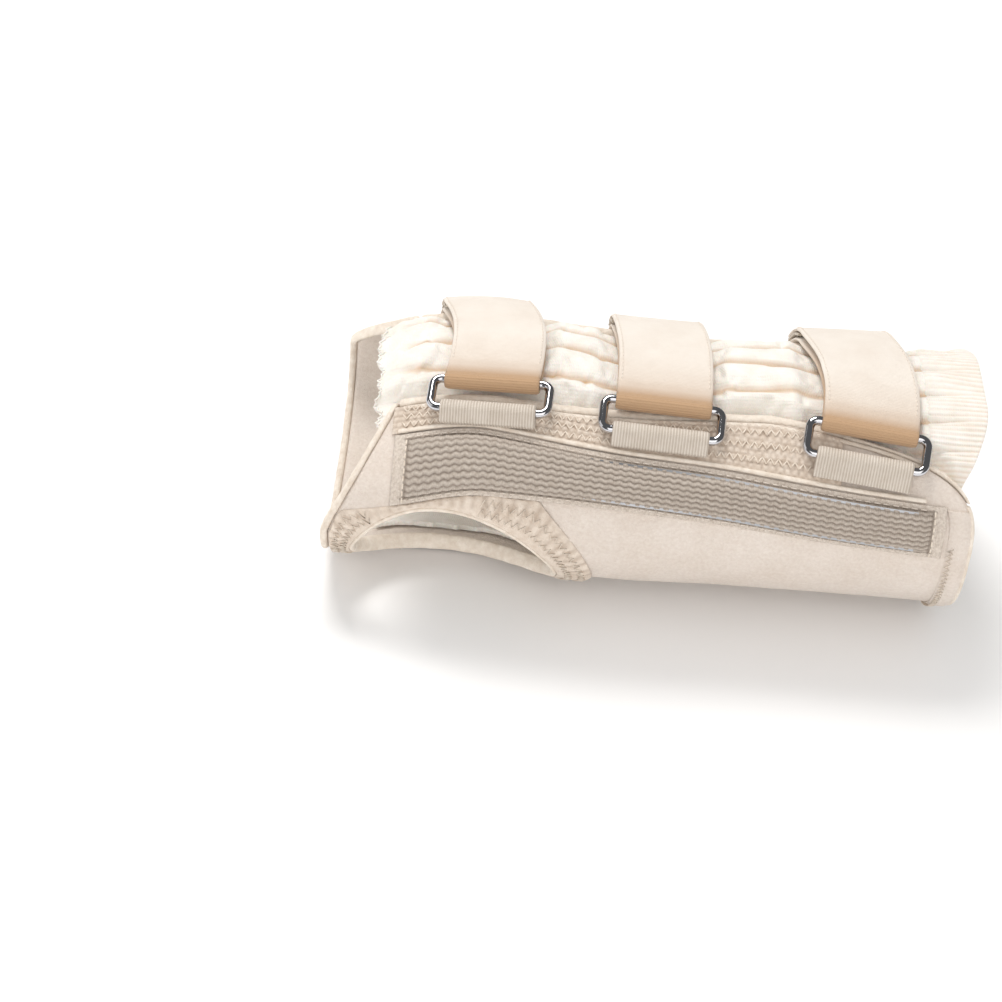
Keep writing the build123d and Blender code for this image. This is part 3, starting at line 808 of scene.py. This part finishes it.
def liner_offset(x, angle):
    """The knit lies under the felt, and through the dorsal opening it swells into lengthwise pleats."""
    top = felt_top(x)
    window = ease(angle, top + 4, top + 14) * (1 - ease(angle, 117, 128))
    grip = strap_grip(x)
    rise = 2.9 + 1.7 * (1 - grip) + (1.2 + 1.5 * (1 - grip)) * (pleats(x, angle) - 0.85)
    fade = ease(x, LINER_START, LINER_START + 4) * 0.5 + 0.5
    return -(FELT + SHEATH) + window * rise * fade


def pleats(x, angle):
    """0 in the creases that run along the limb and 1 on the rolls between them."""
    drift = 0.1 * np.sin(x / 21.0) + 0.05 * np.sin(x / 8.5 + angle / 14.0)
    return np.abs(np.sin(math.pi * ((angle - PLEAT_START) / PLEAT_PITCH + drift))) ** 0.5


def relax(points, held):
    """Cloth simulation of a sheet of slack knit, held where held is 1. Returns how far each point moves."""
    rows, columns = points.shape[:2]
    index = np.arange(rows * columns).reshape(rows, columns)
    quads = np.stack([index[:-1, :-1], index[1:, :-1], index[1:, 1:], index[:-1, 1:]], -1).reshape(-1, 4)
    sheet = make("knit_sheet", points.reshape(-1, 3), quads.tolist(), levels=0)
    group = sheet.vertex_groups.new(name="held")
    for i, weight in enumerate(held.ravel().tolist()):
        group.add([i], weight, "REPLACE")
    cloth = sheet.modifiers.new("cloth", "CLOTH")
    settings = cloth.settings
    settings.quality = 6
    settings.mass = 0.15
    settings.vertex_group_mass = "held"
    settings.shrink_min = -0.05
    settings.tension_stiffness = settings.compression_stiffness = 12
    settings.bending_stiffness = 3.0
    settings.use_pressure = True
    settings.uniform_pressure_force = 1.0
    settings.effector_weights.gravity = 0
    cloth.point_cache.frame_end = SHEET_FRAMES
    for frame_number in range(1, SHEET_FRAMES + 1):
        bpy.context.scene.frame_set(frame_number)
    settled = sheet.evaluated_get(bpy.context.evaluated_depsgraph_get()).data
    moved = np.zeros(rows * columns * 3)
    settled.vertices.foreach_get("co", moved)
    bpy.data.objects.remove(sheet, do_unlink=True)
    bpy.context.scene.frame_set(1)
    shift = moved.reshape(points.shape) * 1000 - points
    travel = np.linalg.norm(shift, axis=-1, keepdims=True)
    return shift * np.minimum(1, SHEET_TRAVEL / np.maximum(travel, 1e-6))


def slack_panel(x, angle, points):
    """Settle the knit of the dorsal opening, on every second row and column, and spread the result."""
    columns = np.nonzero((angle[PANEL_ROW] > 62) & (angle[PANEL_ROW] < 130))[0]
    rows = np.arange(6, x.shape[0], 2)
    cells = np.ix_(rows, columns[::2])
    px, pa = x[cells], angle[cells]
    border = np.minimum(ease(pa, felt_top(px) + 1, felt_top(px) + 8), 1 - ease(pa, 118, 127))
    held = np.clip(np.maximum(1 - border, strap_grip(px)), 0, 1)
    held[0], held[-1] = 1, 1
    shift = relax(points[cells], held)
    whole = np.zeros(points.shape)
    for k in range(3):
        wide = np.array([np.interp(columns, columns[::2], row) for row in shift[..., k]])
        tall = np.array([np.interp(np.arange(x.shape[0]), rows, line) for line in wide.T]).T
        whole[:, columns, k] = tall
    return whole


def liner_sleeve():
    """Knit sleeve under the felt, pleated in the dorsal opening, with a curling serged edge at the hand."""
    u, angle = sleeve_grid(190, 300)
    frill = 0.9 * np.sin(np.radians(angle) * 34) + 0.6 * np.sin(np.radians(angle) * 13 + 1)
    start = LINER_START + frill * 0.8 - 1.5 * ease(angle, 60, 100)
    x = start + (CUFF_START + 1.0 - start) * u
    x, angle, keep = fit_hole(x, angle, 4.0, closed=True)
    close = 1 - ease(x - start, 0, 6)
    curl = close * (0.7 * np.sin(np.radians(angle) * 34 + 1.2) + 0.5)
    dorsal = ease(angle, 66, 80) * (1 - ease(angle, 118, 130))
    height = liner_offset(x, angle) + curl * dorsal
    outer = limb(x, angle, height)
    inner = limb(x, angle, height - KNIT)
    shift = slack_panel(x, angle, outer)
    window = ease(angle, felt_top(x) + 2, felt_top(x) + 10) * (1 - ease(angle, 119, 128))
    # Painted shade in the creases of the knit's pleats, in the dorsal opening.
    shade_amount = window * np.clip(1 - 1.45 * pleats(x, angle), 0, 1) ** 0.7 * ease(x - start, 4, 12)
    weave = lengths(limb(x, angle))
    sleeve = shell("liner_sleeve_knit", outer + shift, inner + shift, weave, keep, closed=True, shade=shade_amount)
    finish(sleeve, LINER_PAINT, "liner_knit", node="liner_sleeve")
    edge = limb(x[0] + 0.45 - alternate(300, 0.45), angle[0], height[0] + 0.05)
    whole = hole.outside(limb(x[0], angle[0]), 5.0) > 0
    first = int(np.nonzero(whole & ~np.roll(whole, 1))[0][0])
    path = np.roll(edge, -first, 0)[np.roll(whole, -first)]
    finish(tubes("liner_serged_edge", [path], 0.3), LINER_PAINT, "liner_knit")


def liner_cuff():
    """Ribbed cuff that flares beyond the felt on the back of the forearm."""
    u, angle = sleeve_grid(26, 900)
    back = ease(angle, 34, 60) * (1 - ease(angle, 128, 150))
    end = LINER_END - 8.5 * (1 - ease(angle, 20, 80) * (1 - ease(angle, 120, 175)))
    x = CUFF_START + (end - CUFF_START) * u
    ribs = np.abs(np.cos(np.radians(angle) * 75 + 0.5 * np.sin(u * 3 + angle / 9)))
    flare = ease(u, 0, 0.9)
    height = liner_offset(np.minimum(x, 99.0), angle) * (1 - flare * back) + flare * back * 0.9
    height = height + 0.4 * ribs * (0.5 + 0.5 * flare) + 0.35 * np.sin(np.radians(angle) * 11) * flare * back
    # Painted shade in the grooves between the cuff's ribs.
    groove_shade = 0.35 * (1 - ribs) * (0.4 + 0.6 * flare)
    cuff = cover("liner_cuff_rib", x, angle, height, height - CUFF_KNIT, closed=True, shade=groove_shade)
    finish(cuff, LINER_PAINT, "liner_knit", node="liner_cuff")


# ---- Rings, tabs and straps ----

class Station:
    """A ring's place: the frame's two hinges give its bars, and their axis the direction along the limb."""

    def __init__(self, name):
        joints = {j["name"]: j for j in frame["joints"]}
        low, high = joints[f"{name}_ring_swing"], joints[f"{name}_strap_peel"]
        self.name = name
        self.low = np.array(low["pos_m"]) * 1000
        self.high = np.array(high["pos_m"]) * 1000
        self.along = unit(np.array(low["axis"]))
        self.x = self.low[0]
        self.angle = float(angle_of(self.low))
        outward = limb(self.x, self.angle, 1.0) - limb(self.x, self.angle)
        self.out = unit(outward - outward @ self.along * self.along)
        self.up = np.cross(self.out, self.along)
        self.high_angle = float(angle_of(self.high))

    def section(self, angle, offset):
        """Point of the limb's surface in the plane square to the bars."""
        x = np.full(np.shape(angle), self.x)
        for _ in range(4):
            p = limb(x, angle, offset)
            x = x - (p - self.low) @ self.along / self.along[0]
        return limb(x, angle, offset)

    def spread(self, line, aside):
        """A centre line of points carried sideways along the bars."""
        return line[:, None, :] + aside[None, :, None] * self.along

    def over_limb(self, angle, offset, aside):
        """Points of a strap that follows the limb, carried sideways."""
        turn = math.atan2(self.along[1], self.along[0])
        natural = limb(self.x + 1, self.angle) - limb(self.x - 1, self.angle)
        lean = -math.tan(turn - math.atan2(natural[1], natural[0])) / DEGREE_RUN
        angle, offset = angle[:, None], offset[:, None]
        x = self.x + DRIFT[self.name] * (angle - self.high_angle) + aside[None, :]
        return limb(x, angle + lean * aside[None, :] * (1 - ease(angle, 80, 120)), offset)

    def arc(self, centre, radius, start, end, count):
        turns = np.radians(np.linspace(start, end, count))
        return centre + radius * (np.cos(turns)[:, None] * self.up + np.sin(turns)[:, None] * self.out)


STATIONS = [Station(name) for name in DRIFT]


def web_normal(line):
    return unit(np.cross(np.gradient(line, axis=0), np.gradient(line, axis=1)))


def web(name, line, thickness, cushion=0.0, shade=0.0):
    """Woven web about a grid of middle points: rows along it, columns across it, with rounded edges."""
    normal = web_normal(line)
    side = np.linspace(-1, 1, line.shape[1])[None, :]
    body = 0.55 + 0.45 * ease(1 - np.abs(side), 0, 0.09) + cushion * (1 - side ** 2)
    half = (thickness / 2 * body)[..., None]
    return shell(name, line + normal * half, line - normal * half, lengths(line), shade=shade)


ASIDE = np.linspace(-WEB_WIDTH / 2, WEB_WIDTH / 2, 25)


def ring_tab(station):
    """Web from the felt round the ring's lower bar and back over itself, as long as the CAD tab."""
    radius = WIRE / 2 + BAR_PLAY + TAB_WEB / 2
    solid = frame["nodes"][f"{station.name}_ring_tab"].data
    co = np.array([v.co for v in solid.vertices]) * 1000 - station.low
    end = float((co @ station.up).min()) + 0.1
    start_angle = bisect_angle(station, end)
    mid_angle = bisect_angle(station, end * 0.45)
    under = float((station.low - station.section(station.angle, 0.0)) @ station.out) - radius
    inner = np.array([station.section(a, under) for a in np.linspace(start_angle, mid_angle, 6)])
    outer_end = station.section(start_angle, under + TAB_WEB + 0.2)
    wrap = 90 + math.degrees(math.atan2(2.3, -end - 1.2))
    loop = station.arc(station.low, radius, -90, wrap, 20)
    back = np.linspace(loop[-1], outer_end, 8)[1:]
    line = np.concatenate([inner, loop, back])
    tab = web(f"{station.name}_tab_web", station.spread(line, ASIDE), TAB_WEB)
    finish(tab, TAB_PAINT, "tab_webbing", node=f"{station.name}_ring_tab")
    seam = outer_end[None, :] + 0.9 * station.up + 0.62 * station.out
    row = station.spread(seam, np.linspace(-11.5, 11.5, 40))[0]
    edging(stitches(f"{station.name}_tab_stitches", row, 1.9, radius=0.18))


def bisect_angle(station, distance):
    """Angle at which the surface is this far above the low bar, in the direction of station.up."""
    low, high = station.angle - 40, station.angle + 40
    for _ in range(30):
        middle = (low + high) / 2
        below = (station.section(middle, 1.0) - station.low) @ station.up < distance
        low, high = (middle, high) if below else (low, middle)
    return middle


def run(station, start, end, offset, count, aside=ASIDE, square=5.0, fade=50.0):
    """Web over the limb, square to the bars near the ring and following the limb beyond."""
    angle = np.linspace(start, end, count)
    height = np.zeros(count) + (offset(angle) if callable(offset) else offset)
    centre = np.array([station.section(a, h) for a, h in zip(angle, height)])
    flat = station.spread(centre, aside)
    first = station.high_angle + square
    share = ease(angle, first, first + fade)[:, None, None]
    return flat + (station.over_limb(angle, height, aside) - flat) * share


def strap(station):
    """One strap: its lower run and fold lie round the ring on no body, and its free end peels."""
    radius = WIRE / 2 + BAR_PLAY + STRAP_WEB / 2
    name = station.name
    middle = STRAP_WEB / 2

    def lower(angle):
        return STRAP_LIFT - STRAP_SINK * ease(angle, 142, 156) + middle - 0.25
    below = run(station, STRAP_SEWN, station.high_angle + 3.0, lower, 70)
    fold = station.spread(station.arc(station.high, radius, 266, 170, 16), ASIDE)
    line = np.concatenate([below, fold])
    # Painted shadow on the lower run, darkening towards the ring and over the fold, under the free end.
    lower_shadow = ease(np.arange(len(line)), 30, 66)[:, None]
    base = web(f"{name}_strap_lower_web", line, STRAP_WEB, cushion=0.05, shade=0.9 * lower_shadow)
    finish(base, STRAP_PAINT, "strap_webbing", body=None, node=f"{name}_strap_base")
    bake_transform(base)
    height = STRAP_LIFT + STRAP_WEB + HOOK + LAYER_PLAY + middle
    over = run(station, station.high_angle + 6, STRAP_END, height, 60)
    top = station.spread(station.arc(station.high, radius + 0.05, 184, 84, 18), ASIDE)
    free = np.concatenate([top, over])
    sag = 0.25 * ripple(free, 11, 4.0) * ease(np.arange(len(free)), 20, 30)[:, None]
    free = free + sag[..., None] * station.out
    from_fold = lengths(free)[..., 0]
    # Painted shade on the free end where it bends down round the ring, fading away from the fold.
    tan = 0.9 * (1 - ease(from_fold, 1.5, 13.0)) + 0.25 * (1 - ease(from_fold, 8.0, 26.0))
    end = web(f"{name}_strap_free_web", free, STRAP_WEB, cushion=0.1, shade=np.clip(tan, 0, 1))
    finish(end, STRAP_PAINT, "strap_webbing", body=f"{name}_strap_end", node=f"{name}_strap_end")
    normal = web_normal(free)
    outward = np.sign((normal * (free - LIMB_MIDDLE)).sum(-1))[..., None]
    surface = free + normal * outward * (middle + 0.02)
    for label, column in (("hand", 1), ("elbow", -2)):
        edge = stitches(f"{name}_strap_{label}_selvedge", surface[20:, column], 1.6, gap=0.25, radius=0.16)
        finish(edge, STRAP_PAINT, "strap_webbing", body=f"{name}_strap_end")
    box = run(station, 179, 166, STRAP_LIFT - STRAP_SINK + STRAP_WEB, 16, np.linspace(-10.5, 10.5, 22))
    border = np.concatenate([box[0], box[1:, -1], box[-1, -2::-1], box[-2::-1, 0]])
    cross = np.array([box[int(round(t * 15)), int(round(t * 21))] for t in np.linspace(0, 1, 22)])
    edging(stitches(f"{name}_strap_box_stitches", border, 2.4))
    edging(stitches(f"{name}_strap_cross_stitches", cross, 2.4))


def hardware():
    for name in DRIFT:
        paint_node(f"{name}_ring", CHROME)
        paint_node(f"{name}_hook_patch", HOOK_PAINT)
    for name in ("palmar_stay", "radial_stay"):
        paint_node(name, STAY_METAL)


def paint_node(name, paint):
    node = frame["nodes"][name]
    node.data.materials.clear()
    node.data.materials.append(paint.material)
    node.data.shade_smooth()
    node.data.set_sharp_from_angle(angle=math.radians(40))


# ---- Studio ----

CAMERA_TURNS = (-0.39, 37.55, 5.1)           # azimuth, elevation and roll
CAMERA_DISTANCE, CAMERA_LENS = 652.0, 84.2
CAMERA_TARGET = (-16.4, 0.0, 9.7)
ROOM_LIGHT, ROOM_REFLECTION = 0.62, 0.12     # strength of the white room, and of what chrome reflects of it
FLOOR_REACH, FLOOR_Z = 4000, -0.4
LAMP_AIM = (0.02, 0, 0.03)
# Lamps: name, place in metres, power, size and colour
LAMPS = (("key", (-0.25, 0.55, 1.1), 9, 0.5, (1.0, 0.985, 0.965)),
         ("fill", (0.2, -1.2, 0.7), 7, 1.2, (1.0, 0.98, 0.96)),
         ("side", (-1.1, -0.2, 0.5), 2, 0.9, (1.0, 0.97, 0.94)))


def light(name, place, power, size, colour):
    """Soft lamp at a place in metres."""
    data = bpy.data.lights.new(name, "AREA")
    data.energy, data.size = power, size
    data.color = colour
    lamp = bpy.data.objects.new(name, data)
    bpy.context.scene.collection.objects.link(lamp)
    lamp.location = place
    lamp.rotation_euler = (Vector(LAMP_AIM) - Vector(place)).to_track_quat("-Z", "Y").to_euler()


def studio():
    turns = ((-1, -1), (1, -1), (1, 1), (-1, 1))
    corners = [(FLOOR_REACH * x, FLOOR_REACH * y, FLOOR_Z) for x, y in turns]
    floor = make("floor", corners, [(0, 1, 2, 3)], levels=0)
    paint = Paint("pale_floor", 0.9)
    paint.colour(paint.ramp(paint.noise(900, 2), (247, 247, 247), (250, 250, 250)))
    floor.data.materials.append(paint.material)
    for lamp in LAMPS:
        light(*lamp)
    world = bpy.data.worlds.new("studio")
    bpy.context.scene.world = world
    world.use_nodes = True
    tree = world.node_tree
    background = tree.nodes["Background"]
    background.inputs["Color"].default_value = (1, 1, 1, 1)
    path = tree.nodes.new("ShaderNodeLightPath")
    glow = tree.nodes.new("ShaderNodeMapRange")
    tree.links.new(path.outputs["Is Glossy Ray"], glow.inputs["Value"])
    glow.inputs["To Min"].default_value, glow.inputs["To Max"].default_value = ROOM_LIGHT, ROOM_REFLECTION
    tree.links.new(glow.outputs[0], background.inputs["Strength"])
    bpy.context.scene.view_settings.view_transform = "Standard"


def camera():
    azimuth, elevation, roll = map(math.radians, CAMERA_TURNS)
    level = math.cos(elevation)
    back = Vector((math.sin(azimuth) * level, -math.cos(azimuth) * level, math.sin(elevation)))
    right = Vector((math.cos(azimuth), math.sin(azimuth), 0))
    up = back.cross(right)
    across = right * math.cos(roll) + up * math.sin(roll)
    upward = up * math.cos(roll) - right * math.sin(roll)
    data = bpy.data.cameras.new("camera")
    data.lens, data.sensor_width = CAMERA_LENS, 36.0
    data.clip_start = 0.05
    eye = bpy.data.objects.new("camera", data)
    bpy.context.scene.collection.objects.link(eye)
    place = (Vector(CAMERA_TARGET) + back * CAMERA_DISTANCE) / 1000
    turn = Matrix((across, upward, back)).transposed().to_4x4()
    eye.matrix_world = Matrix.Translation(place) @ turn
    bpy.context.scene.camera = eye


felt_body()
hand_binding()
radial_binding()
ulnar_binding()
radial_hem()
elbow_hem()
thumb_hem()
pocket_strip()
palmar_pocket()
liner_sleeve()
liner_cuff()
for station in STATIONS:
    ring_tab(station)
    strap(station)
hardware()
studio()
camera()
